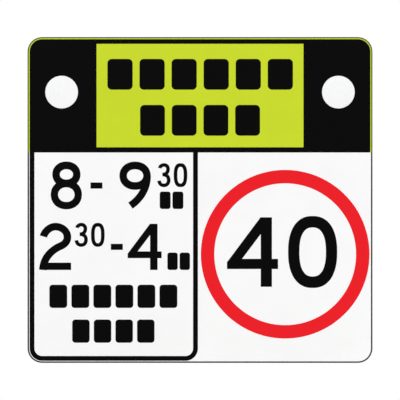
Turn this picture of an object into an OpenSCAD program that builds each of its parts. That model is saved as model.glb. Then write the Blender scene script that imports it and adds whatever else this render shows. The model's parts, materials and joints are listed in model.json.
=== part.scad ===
// School zone speed sign with two flashing lamps, rails and post clamps.
// x runs to the right as a driver sees the sign, y runs from the face to the back, and z is up.
// The origin is on the post's axis, level with the middle of the panel.

/* [Panel] */
// Width of the panel
sign_w = 900; // [860:5:1000]
// Height of the panel
sign_h = 850; // [820:5:950]
// Corner radius of the panel
corner_r = 38; // [20:1:60]
// Thickness of the aluminium sheet
panel_t = 2; // [1.6:0.1:3]
// Bare rim between the panel's edge and the sheeting
sheeting_inset = 3; // [1:0.5:4]
// Thickness of the reflective sheeting
sheeting_t = 0.4; // [0.3:0.05:0.6]
// Thickness of the black and red overlay films
overlay_t = 0.2; // [0.15:0.05:0.4]

/* [Legend] */
// Height of the header, from the top edge of the panel
header_h = 301; // [290:1:315]
// Margin of background colour outside the black overlays
legend_inset = 5.5; // [4:0.5:8]
// Gap between the yellow-green field and the lamps beside it
field_gap = 48; // [40:1:60]
// Width of the black line above the field
field_top = 12; // [10:1:15]
// Width of the black line below the field
field_bottom = 13.5; // [10:0.5:16]
// Outer diameter of the speed ring
ring_d = 440; // [400:1:450]
// Width of the speed ring's stroke
ring_w = 35; // [25:1:45]
// Gap from the speed ring to the panel's edge, and to the timing panel
ring_gap = 7.75; // [5:0.25:15]
// Rise of the speed ring above the middle of the white area
ring_rise = 9; // [0:1:20]
// Width of the timing panel's border
border_w = 12.5; // [8:0.5:20]

/* [Rails] */
// Gap between the upper rail and the lamps above it
rail_gap = 12.7; // [8:0.1:60]
// Distance of the rails' ends from the edges of the panel
rail_inset = 40; // [25:1:80]
// Width of the rail's base
rail_base_w = 50; // [44:1:56]
// Thickness of the rail's base
rail_base_t = 2; // [1.6:0.1:3]
// Depth of the rail, from the panel to its back face
rail_h = 16; // [14:0.5:20]
// Thickness of the channel's side walls
rail_wall = 2.2; // [1.8:0.1:3]
// Thickness of the lips that the bolt heads bear on
rail_lip_t = 2.6; // [2:0.1:3.2]
// Clearance of a bolt in the rail's slot, on each side
slot_clearance = 0.5; // [0.3:0.1:1]
// Diameter of the rivets
rivet_d = 4.8; // [4:0.1:5]
// Number of rivets along each side of a rail
rivet_count = 6; // [4:1:8]
// Distance from the end of a rail to its first rivet
rivet_end = 35; // [15:1:50]

/* [Post clamps] */
// Outer diameter of the round post
post_d = 76.1; // [60:0.1:90]
// Height of each clamp
clamp_h = 50; // [40:1:60]
// Gap between the strap's band and each clamp washer
bolt_gap = 7.45; // [6:0.05:12]
// Distance of each clamp bolt from the end of its clamp
clamp_end = 15; // [13:1:20]
// Thickness of the saddle's steel
saddle_t = 3; // [2.5:0.5:4]
// Depth of the saddle's cheeks, from the rail
saddle_depth = 21; // [18:1:24]
// Gap between the post and the saddle's web
post_gap = 2; // [1:0.5:4]
// Thickness of the strap's steel
strap_t = 4; // [3:0.5:5]
// Distance of the strap's flanges behind the post's middle
strap_gap = 5; // [3:1:10]
// Diameter of the clamp bolts
bolt_d = 10; // [8:1:10]
// Size of the clamp bolt's hexagon, across the flats
bolt_af = 17; // [16:1:17]
// Height of the clamp bolt's head
bolt_head_h = 6.4; // [5.5:0.1:6.8]
// Height of the clamp nut
bolt_nut_h = 9; // [8:0.5:10]
// Diameter of the clamp washer
bolt_washer_d = 21; // [20:1:24]

/* [Lamps] */
// Distance of each lamp's middle from the side edge of the panel
lamp_inset = 89; // [80:1:98]
// Distance of the lamps below the top edge of the panel
lamp_drop = 143.5; // [130:0.5:146]
// Diameter of the hole in the panel for each lamp
lamp_hole_d = 86; // [80:1:90]
// Gap between the lens and the edge of its hole
lens_gap = 0.5; // [0.3:0.1:1]
// Thickness of the lens
lens_t = 2.5; // [2:0.5:3]
// Rise of the lens's domed face
lens_dome = 3; // [2:0.5:6]
// Distance that the lens's rim stands in front of the film
lens_proud = 1; // [0.5:0.5:3]
// Width of the flange that holds the lens behind the panel
lens_flange_w = 8; // [6:1:9]
// Thickness of the lens's flange
lens_flange_t = 3; // [2.5:0.5:4]
// Number of Fresnel rings inside the lens
lens_rings = 9; // [6:1:12]
// Thickness of the seal between the lamp and the panel
lamp_seal_t = 1.5; // [1:0.5:2.5]
// Width of the housing's flange outside the lens
lamp_flange_w = 13; // [12:1:14]
// Thickness of the housing's flange
lamp_flange_t = 5; // [5:0.5:6]
// Depth of the housing behind the panel
lamp_depth = 42; // [40:1:48]
// Thickness of the housing's wall
lamp_wall = 3; // [2.5:0.5:3.5]
// Narrowing of the housing towards its back, on the radius
lamp_draft = 3; // [1:0.5:4]
// Distance of the LED board behind the panel
led_board_depth = 16; // [14:1:18]
// Thickness of every circuit board
board_t = 1.6; // [1.2:0.1:2]
// Distance from one LED to the next
led_pitch = 14; // [12:0.5:15]
// Diameter of an LED
led_d = 5; // [4:0.5:7]
// Diameter of the lead hole in every housing
lead_hole_d = 12; // [10:0.5:12]

/* [Flasher control box] */
// Gap between the box's ears and the lamp beside them
box_gap = 19.2; // [12:0.1:25]
// Width of the box
box_w = 160; // [150:1:166]
// Height of the box
box_h = 120; // [100:1:124]
// Depth of the box's base
box_d = 44; // [40:1:60]
// Corner radius of the box
box_r = 8; // [7:0.5:10]
// Thickness of the box's walls
box_wall = 3; // [2.5:0.5:4]
// Thickness of the lid
lid_t = 5; // [4:0.5:8]
// Thickness of the lid's seal
box_seal_t = 1.5; // [1:0.5:2]
// Width of the mounting ears
ear_w = 16; // [15:1:17]
// Distance of the ears above and below the box's middle
ear_z = 38; // [30:1:42]
// Height of the circuit board above the floor of the box
board_stand = 8; // [6:1:12]
// Distance of the lead holes and the gland behind the panel
entry_depth = 27; // [25:0.5:29]
// Diameter of the supply gland's thread
gland_d = 16; // [14:1:18]
// Diameter of the cable that the supply gland takes
gland_bore = 8; // [6:0.5:9]

/* [Hidden] */
$fn = 96;
// Overlength of each cutter past the face that it opens
over = 1;
// Clearance between parts that slip into each other
fit = 0.3;

// Faces of the sign, from the post forwards
post_r = post_d / 2;
rail_back = -(post_r + post_gap + saddle_t);
panel_back = rail_back - rail_h;
panel_front = panel_back - panel_t;
sheeting_front = panel_front - sheeting_t;
overlay_front = sheeting_front - overlay_t;

// Layout of the face
header_bottom = sign_h / 2 - header_h;
lamp_x = sign_w / 2 - lamp_inset;
lamp_z = sign_h / 2 - lamp_drop;
lamp_hole_r = lamp_hole_d / 2;
field_w = 2 * (lamp_x - lamp_hole_r - field_gap);
field_h = header_h - legend_inset - field_top - field_bottom;
field_z = sign_h / 2 - legend_inset - field_top - field_h / 2;
ring_x = sign_w / 2 - ring_gap - ring_d / 2;
ring_z = (header_bottom - sign_h / 2) / 2 + ring_rise;
timing_w = sign_w - legend_inset - ring_d - 2 * ring_gap;

// Rail section
slot_w = bolt_d + 2 * slot_clearance;
channel_in = bolt_af + 2 * fit;
channel_out = channel_in + 2 * rail_wall;
root_chamfer = 1.2;
rivet_row = (channel_out + rail_base_w) / 4;
rivet_head_r = 0.88 * rivet_d;
rivet_sink = 1.2;
rivet_tail_h = 1.7;
rail_edge = 0.5;
rail_l = sign_w - 2 * rail_inset;
rivet_pitch = (rail_l - 2 * rivet_end) / (rivet_count - 1);
rivet_xs = [for (i = [0 : rivet_count - 1]) rivet_end - rail_l / 2 + i * rivet_pitch];

// Clamp hardware
bolt_hole_d = bolt_d + 1;
bolt_washer_t = 2;
bolt_spare = 4;
strap_back = strap_gap + strap_t;
bolt_nut_y = strap_back + bolt_washer_t;
bolt_end_y = bolt_nut_y + bolt_nut_h + bolt_spare;
bolt_x = post_r + strap_t + bolt_gap + bolt_washer_d / 2;
clamp_w = 2 * (bolt_x + clamp_end);
bend_r = 1.5;
saddle_shoulder = 5;
strap_bend_r = 3;
strap_corner_r = 8;

// Small fasteners
m3 = 3;
m4 = 4;
m5 = 5;
m6 = 6;
// Radius of a pan head, as a share of its screw's diameter
pan_head_r = 0.95;
// Nuts, by their size across the flats, and washers of the weld studs
lamp_nut_af = 8;
box_nut_af = 10;
lamp_washer_t = 1;
box_washer_t = 1.2;
// Length of a weld stud behind the flange or ear that it holds
stud_reach = 9;

// Lamp, as radii and as depths behind the panel's back face
lens_r = lamp_hole_r - lens_gap;
lens_rim = -(panel_t + sheeting_t + overlay_t + lens_proud);
lens_inner_r = lens_r - lens_t;
lens_flange_r = lens_r + lens_flange_w;
lens_back = lamp_seal_t + lens_flange_t;
dome_r = (lens_r * lens_r + lens_dome * lens_dome) / (2 * lens_dome);
fresnel_h = 1.2;
fresnel_pitch = (lens_inner_r - 2) / lens_rings;
seat_r = lens_flange_r + fit;
seat_step = 4;
lamp_flange_r = seat_r + lamp_flange_w;
lamp_flange_back = lamp_seal_t + lamp_flange_t;
cavity_r = seat_r - seat_step;
lamp_body_r = cavity_r + lamp_wall;
stud_r = seat_r + lamp_flange_w / 2;
stud_turns = [45, 135, 225, 315];
led_board_back = led_board_depth + board_t;
led_board_gap = 2;
led_board_r = cavity_r - led_board_gap;
led_screw_inset = 3;
led_screw_r = led_board_r - led_screw_inset;
led_screw_turns = [30, 150, 270];
led_screw_l = 9;
reflector_t = 1.2;
reflector_gap = 1.75;
reflector_back_r = led_screw_r - pan_head_r * m3 - reflector_gap - reflector_t;
lead_slot_r = 2;
lead_boss_wall = 3;
lead_depth = lamp_depth - lamp_wall - lead_hole_d / 2 - lead_boss_wall;
lead_boss_r = lamp_body_r + 3;

// Rail height, from the lamps down
rail_z = lamp_z - lamp_flange_r - rail_gap - rail_base_w / 2;

// Flasher control box
box_x = lamp_x - lamp_flange_r - box_gap - ear_w - box_w / 2;
box_z = lamp_z;
ear_t = 4;
ear_h = 20;
ear_r = 6;
ear_screw_x = box_w / 2 + ear_w / 2;
pillar_r = 5;
lid_screw_x = box_w / 2 - box_wall - pillar_r + 1;
lid_screw_z = box_h / 2 - box_wall - pillar_r + 1;
lid_rim = 17;
lid_rise = 2;
lid_lip_h = 3;
lid_lip_t = 2;
screw_sink = 1.2;
screw_head_h = 2.6;
screw_slot_w = 1;
screw_slot_l = 10;
entry_pitch = 42;
grommet_flange_t = 2;

// Supply gland, as distances below the wall of the box, and as walls on the radius
gland_hex_h = 5;
gland_thread_l = 14;
gland_nut_top = 5.5;
gland_drop = 19;
gland_shoulder_h = 7;
gland_seal_l = 11;
gland_seal_wall = 1.8;
gland_nut_wall = 3.5;
gland_inside_l = 8;
gland_locknut_h = 4.5;

// Circuit board of the box: its size, its screws, and its rows above and below the middle
board_gap = 10;
board_w = box_w - 2 * box_wall - 2 * board_gap - 2;
board_h = box_h - 2 * box_wall - 2 * board_gap;
board_y = box_wall + board_stand;
board_screw_x = board_w / 2 - 12;
board_screw_z = board_h / 2 - 5;
terminal_w = 20;
terminal_pitch = 26;
terminal_z = 7 - board_h / 2;
chip_w = 16;
driver_pitch = 16;
driver_h = 15;
capacitor_r = 5;
capacitor_pitch = 14;
upper_row = 12;
lower_row = 14;

// Helpers that place shapes

// Extrudes a flat outline, drawn in x and z, from y = from to the back
module upright(from, thick) {
    translate([0, from + thick, 0]) rotate([90, 0, 0]) linear_extrude(thick) children();
}

// Turns a profile of radius and depth round the y axis
module turned(from = 0) {
    translate([0, from, 0]) rotate([-90, 0, 0]) rotate_extrude() children();
}

// A round bar along y
module bar(from, to, r) {
    translate([0, from, 0]) rotate([-90, 0, 0]) cylinder(h = to - from, r = r);
}

// A hexagonal bar along y, with flats at its top and bottom
module hex_bar(from, to, af) {
    translate([0, from, 0]) rotate([-90, 0, 0]) cylinder(h = to - from, r = af / sqrt(3), $fn = 6);
}

// A hexagon from y = from to y = to, whose corners are turned down at its far end
module hex_head(from, to, af) {
    h = abs(to - from);
    corner = af / sqrt(3) + 0.1;
    face = 0.475 * af;
    drop = (corner - face) * tan(30);
    translate([0, from, 0]) rotate([to < from ? 180 : 0, 0, 0]) intersection() {
        hex_bar(0, h, af);
        turned() polygon([[0, 0], [corner, 0], [corner, h - drop], [face, h], [0, h]]);
    }
}

module washer(from, thick, outer_r, inner_r) {
    difference() {
        bar(from, from + thick, outer_r);
        bar(from - over, from + thick + over, inner_r);
    }
}

// A hexagon with a round collar behind it, on a bar of radius r
module lock_nut(from, h, af, r) {
    hex_h = 0.7 * h;
    difference() {
        union() {
            hex_head(from, from + hex_h, af);
            bar(from, from + h, 0.44 * af);
        }
        bar(from - over, from + h + over, r);
    }
}

module rounded(w, h, r) {
    square([w - 2 * r, h], center = true);
    square([w, h - 2 * r], center = true);
    for (sx = [-1, 1], sz = [-1, 1]) {
        translate([sx * (w / 2 - r), sz * (h / 2 - r)]) circle(r);
    }
}

module at_lamp(side) {
    translate([side * lamp_x, panel_back, lamp_z]) children();
}

module round_lamp(turns, r) {
    for (turn = turns) rotate([0, turn, 0]) translate([r, 0, 0]) children();
}

module at_box() {
    translate([box_x, panel_back, box_z]) children();
}

module at_clamps() {
    for (side = [-1, 1], z = [-rail_z, rail_z]) translate([side * bolt_x, 0, z]) children();
}

module at_rivets() {
    for (x = rivet_xs, z = [-rail_z, rail_z], row = [-1, 1]) {
        translate([x, panel_front, z + row * rivet_row]) children();
    }
}

module lamp_holes() {
    for (side = [-1, 1]) translate([side * lamp_x, lamp_z]) circle(lamp_hole_r);
}

// Panel and films

module sheet_outline(inset) {
    rounded(sign_w - 2 * inset, sign_h - 2 * inset, corner_r - inset);
}

module above_header_bottom() {
    translate([-sign_w, header_bottom]) square([2 * sign_w, sign_h]);
}

module rivet_profile(back, extra) {
    polygon([
        [0, -extra], [rivet_head_r, -extra], [rivet_head_r, 0],
        [rivet_d / 2, rivet_sink], [rivet_d / 2, back], [0, back]
    ]);
}

module sign_panel() {
    color("silver") difference() {
        upright(panel_front, panel_t) difference() {
            sheet_outline(0);
            lamp_holes();
        }
        at_rivets() turned() rivet_profile(panel_t + over, over);
    }
}

module lime_sheeting() {
    color([0.79, 0.86, 0.18]) upright(sheeting_front, sheeting_t) difference() {
        intersection() {
            sheet_outline(sheeting_inset);
            above_header_bottom();
        }
        lamp_holes();
    }
}

module white_sheeting() {
    color("white") upright(sheeting_front, sheeting_t) difference() {
        sheet_outline(sheeting_inset);
        above_header_bottom();
    }
}

module header_overlay() {
    color([0.04, 0.04, 0.04]) upright(overlay_front, overlay_t) difference() {
        intersection() {
            sheet_outline(legend_inset);
            above_header_bottom();
        }
        translate([0, field_z]) square([field_w, field_h], center = true);
        lamp_holes();
    }
}

// The border hangs from the header, and its lower corners follow the panel's
module timing_border() {
    inner_r = corner_r - legend_inset - border_w;
    tall = sign_h - 2 * legend_inset;
    middle = legend_inset + timing_w / 2 - sign_w / 2;
    color([0.04, 0.04, 0.04]) upright(overlay_front, overlay_t) difference() {
        translate([middle, 0]) difference() {
            rounded(timing_w, tall, corner_r - legend_inset);
            rounded(timing_w - 2 * border_w, tall - 2 * border_w, inner_r);
        }
        above_header_bottom();
    }
}

module speed_ring() {
    color([0.93, 0.14, 0.17]) upright(overlay_front, overlay_t) translate([ring_x, ring_z]) difference() {
        circle(d = ring_d, $fn = 256);
        circle(d = ring_d - 2 * ring_w, $fn = 256);
    }
}

// Rails

// Half of the extrusion's section, as distance from its middle and depth behind the panel
function rail_half(side) = [
    [side * slot_w / 2, rail_h],
    [side * slot_w / 2, rail_h - rail_lip_t],
    [side * channel_in / 2, rail_h - rail_lip_t],
    [side * channel_in / 2, rail_base_t]
];

function rail_outside(side) = [
    [side * (rail_base_w / 2 - rail_edge), 0],
    [side * rail_base_w / 2, rail_edge],
    [side * rail_base_w / 2, rail_base_t],
    [side * (channel_out / 2 + root_chamfer), rail_base_t],
    [side * channel_out / 2, rail_base_t + root_chamfer],
    [side * channel_out / 2, rail_h - rail_edge],
    [side * (channel_out / 2 - rail_edge), rail_h]
];

function reversed(list) = [for (i = [len(list) - 1 : -1 : 0]) list[i]];

module rail(z) {
    color("gainsboro") difference() {
        translate([0, panel_back, z]) rotate([0, 90, 0]) linear_extrude(rail_l, center = true) {
            polygon(concat(
                rail_outside(1), rail_half(1), reversed(rail_half(-1)), reversed(rail_outside(-1))
            ));
        }
        at_rivets() bar(panel_t - over, panel_t + rail_base_t + over, rivet_d / 2);
    }
}

module rail_rivets() {
    grip = panel_t + rail_base_t;
    end = grip + rivet_tail_h;
    color("lightgray") at_rivets() turned() {
        rivet_profile(grip, 0);
        polygon([
            [0, grip], [rivet_head_r, grip], [rivet_head_r, grip + 0.6], [rivet_d / 2, end], [0, end]
        ]);
    }
}

// Post clamps

// A pressed channel whose two cheeks are cut to the post's round
module saddle(z) {
    color("lightsteelblue") translate([0, 0, z]) difference() {
        intersection() {
            translate([0, rail_back, 0]) rotate([0, 90, 0]) linear_extrude(clamp_w, center = true) {
                saddle_section();
            }
            translate([0, rail_back, 0]) linear_extrude(clamp_h, center = true) saddle_cheek();
        }
        cylinder(h = clamp_h + 2 * over, r = post_r, center = true);
        for (side = [-1, 1]) {
            translate([side * bolt_x, 0, 0]) {
                bar(rail_back - over, rail_back + saddle_t + over, bolt_hole_d / 2);
            }
        }
    }
}

module saddle_section() {
    intersection() {
        translate([0, saddle_depth]) difference() {
            rounded(clamp_h, 2 * saddle_depth, saddle_t + bend_r);
            rounded(clamp_h - 2 * saddle_t, 2 * (saddle_depth - saddle_t), bend_r);
        }
        translate([-clamp_h, 0]) square([2 * clamp_h, saddle_depth]);
    }
}

module saddle_cheek() {
    shoulder = saddle_t + saddle_shoulder;
    horn = post_r + 2;
    polygon([
        [-clamp_w / 2, 0], [clamp_w / 2, 0], [clamp_w / 2, shoulder],
        [horn, saddle_depth], [-horn, saddle_depth], [-clamp_w / 2, shoulder]
    ]);
}

// A band round the back of the post, with a flange on each side
module strap(z) {
    outer_r = post_r + strap_t;
    color("lightsteelblue") translate([0, 0, z]) difference() {
        union() {
            linear_extrude(clamp_h, center = true) {
                difference() {
                    circle(outer_r);
                    translate([-clamp_w, strap_gap - 2 * clamp_w]) square(2 * clamp_w);
                }
                strap_root(outer_r);
                mirror([1, 0]) strap_root(outer_r);
            }
            upright(strap_gap, strap_t) rounded(clamp_w, clamp_h, strap_corner_r);
        }
        cylinder(h = clamp_h + 2 * over, r = post_r, center = true);
        for (side = [-1, 1]) {
            translate([side * bolt_x, 0, 0]) bar(strap_gap - over, strap_back + over, bolt_hole_d / 2);
        }
    }
}

// Fills the inside corner between the band and its right flange with a bend
module strap_root(outer_r) {
    reach = outer_r + strap_bend_r;
    root_y = strap_back + strap_bend_r;
    root_x = sqrt(reach * reach - root_y * root_y);
    start = 180 + atan2(root_y, root_x);
    steps = 6;
    turns = [for (i = [0 : steps]) start + (270 - start) * i / steps];
    sink = 0.02;
    bend = [for (turn = turns) [root_x + strap_bend_r * cos(turn), root_y + strap_bend_r * sin(turn) - sink]];
    inside = [bend[0] * 0.96, [post_r + strap_t / 3, strap_back - 1], [root_x, strap_back - 1]];
    polygon(concat(inside, reversed(bend)));
}

module clamp_bolts() {
    head_back = rail_back - rail_lip_t;
    color("silver") at_clamps() {
        hex_head(head_back, head_back - bolt_head_h, bolt_af);
        bar(head_back, bolt_end_y, bolt_d / 2);
    }
}

module clamp_washers() {
    color("silver") at_clamps() washer(strap_back, bolt_washer_t, bolt_washer_d / 2, bolt_d / 2 + fit);
}

module clamp_nuts() {
    color("silver") at_clamps() lock_nut(bolt_nut_y, bolt_nut_h, bolt_af, bolt_d / 2);
}

// Lamps

module lamp_seal(side) {
    color([0.15, 0.15, 0.15]) at_lamp(side) difference() {
        washer(0, lamp_seal_t, lamp_flange_r, lamp_hole_r);
        round_lamp(stud_turns, stud_r) bar(-over, lamp_seal_t + over, m5 / 2 + fit);
    }
}

// A domed cup with Fresnel rings on its flat inner face
module lens(side) {
    inner_face = lens_rim + lens_t;
    color([0.95, 0.95, 0.92, 0.7]) at_lamp(side) {
        difference() {
            union() {
                intersection() {
                    bar(lens_rim - lens_dome - over, lens_back, lens_r);
                    translate([0, lens_rim - lens_dome + dome_r, 0]) sphere(dome_r, $fn = 360);
                }
                bar(lamp_seal_t, lens_back, lens_flange_r);
            }
            bar(inner_face, lens_back + over, lens_inner_r);
        }
        turned(inner_face) fresnel_teeth();
    }
}

module fresnel_teeth() {
    for (i = [1 : lens_rings]) {
        r = i * fresnel_pitch;
        polygon([
            [r - 0.6 * fresnel_pitch, -0.5], [r, -0.5],
            [r, fresnel_h], [r - 0.6 * fresnel_pitch, 0]
        ]);
    }
}

// A white cone between the lens's flange and the LED board
module reflector(side) {
    front_r = lens_inner_r;
    back_r = reflector_back_r;
    color("whitesmoke") at_lamp(side) turned() polygon([
        [front_r, lens_back], [cavity_r - fit, lens_back], [cavity_r - fit, lens_back + reflector_t],
        [front_r + reflector_t, lens_back + reflector_t],
        [back_r + reflector_t, led_board_depth], [back_r, led_board_depth]
    ]);
}

// Nineteen places on a hexagonal grid
function led_places() = [
    for (q = [-2 : 2], r = [-2 : 2]) if (abs(q + r) <= 2) led_pitch * [q + r / 2, r * sqrt(3) / 2]
];

module leds(side) {
    base_h = led_d / 4;
    color([1, 0.75, 0.3]) at_lamp(side) for (place = led_places()) {
        translate([place[0], 0, place[1]]) {
            bar(led_board_depth - base_h, led_board_depth, led_d / 2 + 0.5);
            bar(led_board_depth - 2 * base_h, led_board_depth - base_h, led_d / 2);
            intersection() {
                translate([0, led_board_depth - 2 * base_h, 0]) sphere(led_d / 2);
                bar(led_board_depth - led_d - base_h, led_board_depth - base_h, led_d);
            }
        }
    }
}

module led_board(side) {
    color("whitesmoke") at_lamp(side) difference() {
        bar(led_board_depth, led_board_back, led_board_r);
        round_lamp(led_screw_turns, led_screw_r) {
            bar(led_board_depth - over, led_board_back + over, m3 / 2 + fit);
        }
        round_lamp([90], led_screw_r) bar(led_board_depth - over, led_board_back + over, lead_slot_r);
    }
}

// A pan head in front of y = 0 and a shank of length l behind it
module pan_screw(d, l) {
    bar(-0.6 * d, 0, pan_head_r * d);
    bar(0, l, d / 2);
}

module led_board_screws() {
    color("silver") for (side = [-1, 1]) {
        at_lamp(side) round_lamp(led_screw_turns, led_screw_r) translate([0, led_board_depth, 0]) {
            pan_screw(m3, led_screw_l);
        }
    }
}

// A deep cup with a flange, gussets, board pillars and a lead boss at its bottom
module lamp_housing(side) {
    color([0.12, 0.12, 0.13]) at_lamp(side) difference() {
        union() {
            difference() {
                union() {
                    bar(lamp_seal_t, lamp_flange_back, lamp_flange_r);
                    turned() lamp_shell_profile();
                    round_lamp([for (i = [0 : 3], off = [-20, 20]) 90 * i + off], 0) gusset();
                    lead_boss();
                }
                bar(lamp_seal_t - over, lens_back, seat_r);
                turned() lamp_cavity_profile();
            }
            intersection() {
                round_lamp(led_screw_turns, led_screw_r) bar(led_board_back, lamp_depth - over, m3 + 0.5);
                bar(lens_back, lamp_depth - over, cavity_r);
            }
        }
        round_lamp(led_screw_turns, led_screw_r) {
            bar(led_board_back - over, led_board_depth + led_screw_l, m3 / 2);
        }
        round_lamp(stud_turns, stud_r) bar(lamp_seal_t - over, lamp_flange_back + over, m5 / 2 + fit);
        lead_hole();
    }
}

module lamp_shell_profile() {
    back_r = lamp_body_r - lamp_draft;
    edge = 2.5;
    polygon([
        [0, lamp_seal_t], [lamp_body_r, lamp_seal_t], [lamp_body_r, lamp_flange_back],
        [back_r, lamp_depth - edge], [back_r - edge, lamp_depth], [0, lamp_depth]
    ]);
}

module lamp_cavity_profile() {
    polygon([
        [0, lens_back - over], [cavity_r, lens_back - over], [cavity_r, lamp_flange_back],
        [cavity_r - lamp_draft, lamp_depth - lamp_wall], [0, lamp_depth - lamp_wall]
    ]);
}

module gusset() {
    gusset_t = 2.4;
    translate([0, 0, -gusset_t / 2]) linear_extrude(gusset_t) polygon([
        [lamp_body_r - 2, lamp_flange_back - over], [lamp_flange_r - 1.5, lamp_flange_back - over],
        [lamp_flange_r - 1.5, lamp_flange_back + 1], [lamp_body_r, lamp_flange_back + 13],
        [lamp_body_r - 2, lamp_flange_back + 13]
    ]);
}

module lead_boss() {
    r = lead_hole_d / 2 + lead_boss_wall;
    translate([0, lead_depth, -lead_boss_r]) cylinder(h = lead_boss_r - cavity_r + 6, r = r);
}

module lead_hole() {
    translate([0, lead_depth, -lead_boss_r - over]) cylinder(h = lead_boss_r, r = lead_hole_d / 2);
}

// A rubber plug that a lead pierces: its flange is below z = 0, and it fills a wall of the given thickness
module grommet(wall) {
    r = lead_hole_d / 2;
    rotate_extrude() polygon([
        [0, -grommet_flange_t - 2], [r - 3, -grommet_flange_t - 2], [r, -grommet_flange_t],
        [r + 2.5, -grommet_flange_t], [r + 2.5, 0],
        [r, 0], [r, wall], [r + 0.6, wall + 0.8], [r - 1, wall + 3],
        [r - 2, wall + 3], [r - 2.5, 0], [0, 0]
    ]);
}

module lamp_grommets() {
    wall = lead_boss_r - cavity_r + lamp_draft;
    color([0.1, 0.1, 0.1]) for (side = [-1, 1]) {
        at_lamp(side) translate([0, lead_depth, -lead_boss_r]) grommet(wall);
    }
}

module lamp_studs() {
    color("gainsboro") for (side = [-1, 1]) {
        at_lamp(side) round_lamp(stud_turns, stud_r) bar(0, lamp_flange_back + stud_reach, m5 / 2);
    }
}

module lamp_washers() {
    color("silver") for (side = [-1, 1]) {
        at_lamp(side) round_lamp(stud_turns, stud_r) {
            washer(lamp_flange_back, lamp_washer_t, m5, m5 / 2 + fit / 2);
        }
    }
}

module lamp_nuts() {
    color("silver") for (side = [-1, 1]) {
        at_lamp(side) round_lamp(stud_turns, stud_r) {
            lock_nut(lamp_flange_back + lamp_washer_t, m5, lamp_nut_af, m5 / 2);
        }
    }
}

// Flasher control box

module at_box_corners(x, z) {
    for (sx = [-1, 1], sz = [-1, 1]) translate([sx * x, 0, sz * z]) children();
}

module box_base() {
    ears_w = box_w + 2 * ear_w;
    color("lightgray") at_box() difference() {
        union() {
            difference() {
                union() {
                    upright(0, box_d) rounded(box_w, box_h, box_r);
                    for (sz = [-1, 1]) {
                        translate([0, 0, sz * ear_z]) upright(0, ear_t) rounded(ears_w, ear_h, ear_r);
                    }
                }
                upright(box_wall, box_d) rounded(box_w - 2 * box_wall, box_h - 2 * box_wall, box_r - box_wall);
            }
            intersection() {
                at_box_corners(lid_screw_x, lid_screw_z) bar(box_wall - over, box_d, pillar_r);
                upright(0, box_d) rounded(box_w - box_wall, box_h - box_wall, box_r - box_wall / 2);
            }
            at_box_corners(board_screw_x, board_screw_z) bar(box_wall - over, board_y, m3 + 0.5);
        }
        at_box_corners(lid_screw_x, lid_screw_z) bar(box_d - 14, box_d + over, m4 / 2);
        at_box_corners(board_screw_x, board_screw_z) bar(board_y - 6, board_y + over, m3 / 2);
        at_box_corners(ear_screw_x, ear_z) bar(-over, ear_t + over, m6 / 2 + fit);
        box_entries() translate([0, 0, -over]) cylinder(h = box_wall + 2 * over, r = lead_hole_d / 2);
        gland_entry() translate([0, 0, -over]) cylinder(h = box_wall + 2 * over, r = gland_d / 2 + fit / 2);
    }
}

// The two lead holes in the bottom wall, with z = 0 at its outer face
module box_entries() {
    for (side = [-1, 1]) {
        translate([side * entry_pitch, entry_depth, -box_h / 2]) children();
    }
}

module gland_entry() {
    translate([0, entry_depth, -box_h / 2]) children();
}

module box_seal() {
    color([0.15, 0.15, 0.15]) at_box() difference() {
        upright(box_d, box_seal_t) difference() {
            rounded(box_w, box_h, box_r);
            rounded(box_w - 2 * box_wall, box_h - 2 * box_wall, box_r - box_wall);
        }
    }
}

// The lid has a raised middle and a lip that drops inside the seal
module box_lid() {
    lid_back = box_d + box_seal_t + lid_t;
    lip = box_wall + fit;
    inner = lip + lid_lip_t;
    color("silver") at_box() difference() {
        union() {
            upright(box_d + box_seal_t, lid_t) rounded(box_w, box_h, box_r);
            upright(lid_back - over, lid_rise + over) rounded(box_w - 2 * lid_rim, box_h - 2 * lid_rim, box_r);
            upright(box_d + box_seal_t - lid_lip_h, lid_lip_h + over) difference() {
                rounded(box_w - 2 * lip, box_h - 2 * lip, box_r - lip);
                rounded(box_w - 2 * inner, box_h - 2 * inner, box_r - inner);
                for (sx = [-1, 1], sz = [-1, 1]) {
                    translate([sx * lid_screw_x, sz * lid_screw_z]) circle(pillar_r + 1);
                }
            }
        }
        at_box_corners(lid_screw_x, lid_screw_z) {
            bar(box_d, lid_back + over, m4 / 2 + fit);
            bar(lid_back - screw_sink, lid_back + over, m4 + fit);
        }
    }
}

module lid_screws() {
    seat = box_d + box_seal_t + lid_t - screw_sink;
    color("silver") at_box() at_box_corners(lid_screw_x, lid_screw_z) difference() {
        union() {
            bar(box_d - 10, seat, m4 / 2);
            bar(seat, seat + screw_head_h, m4);
        }
        upright(seat + screw_head_h / 2, screw_head_h) square([screw_slot_l, screw_slot_w], center = true);
    }
}

module control_board() {
    color("seagreen") at_box() upright(board_y, board_t) difference() {
        square([board_w, board_h], center = true);
        for (sx = [-1, 1], sz = [-1, 1]) {
            translate([sx * board_screw_x, sz * board_screw_z]) circle(m3 / 2 + fit);
        }
    }
}

module terminal_outline() {
    square([terminal_w, 0.45 * terminal_w], center = true);
}

module driver_outline() {
    square([0.6 * driver_h, driver_h], center = true);
}

module relay_outline() {
    square([terminal_pitch, 0.75 * chip_w], center = true);
}

// Terminal blocks at the bottom edge, then the processor, the two lamp drivers, the capacitors and the relay
module board_components() {
    top = board_y + board_t;
    color("dimgray") at_box() {
        for (i = [-1 : 1]) {
            translate([terminal_pitch * i, 0, terminal_z]) upright(top, terminal_w / 2) terminal_outline();
        }
        translate([-2 * chip_w, 0, upper_row]) upright(top, chip_w / 8) square(chip_w, center = true);
        for (i = [0, 1]) {
            translate([driver_pitch * i, 0, upper_row]) upright(top, driver_h - 3) driver_outline();
            translate([terminal_pitch + capacitor_pitch, 0, upper_row - capacitor_pitch * i]) {
                bar(top, top + 3 * capacitor_r, capacitor_r);
            }
        }
        translate([-chip_w, 0, -lower_row]) upright(top, chip_w / 2) relay_outline();
    }
}

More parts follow.
